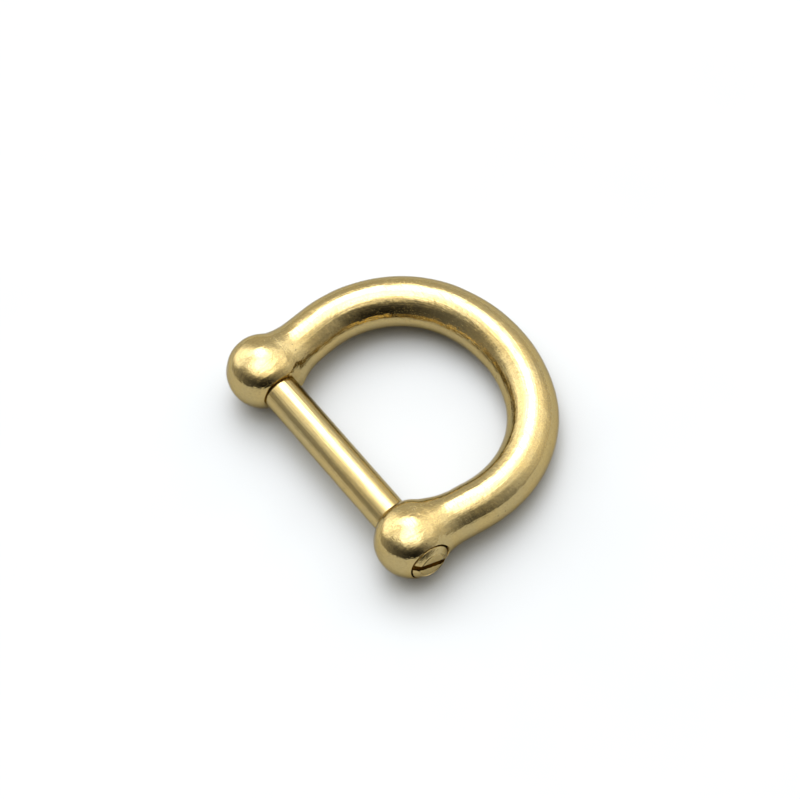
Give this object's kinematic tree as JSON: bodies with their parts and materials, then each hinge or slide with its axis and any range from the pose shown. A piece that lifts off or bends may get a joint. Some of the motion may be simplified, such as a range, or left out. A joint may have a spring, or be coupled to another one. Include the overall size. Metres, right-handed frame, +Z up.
{
  "type": "horseshoe buckle",
  "caption": "Solid brass horseshoe buckle: a round D-shaped bow with ball ears, closed by a slotted screw pin that is the bar for a strap.",
  "frame": {"origin": "middle of the bar between the two ears, on the pin's axis", "axes": "+X along the pin towards its slotted head, +Y towards the crown of the bow, +Z up from the surface it lies on"},
  "size_m": [0.0324, 0.0266, 0.0074],
  "materials": {
    "cast_brass": "tumbled and polished, softly uneven, with fine pits and hairline scratches",
    "turned_brass": "turned and polished, with fine lines along the bar"
  },
  "bodies": {
    "bow": {"bow": "cast_brass"},
    "pin": {"screw_pin": "turned_brass"}
  },
  "joints": [
    {"name": "pin_unscrew", "type": "slide", "parent": "bow", "child": "pin", "axis": [1, 0, 0], "range_m": [0, 0.032]}
  ]
}
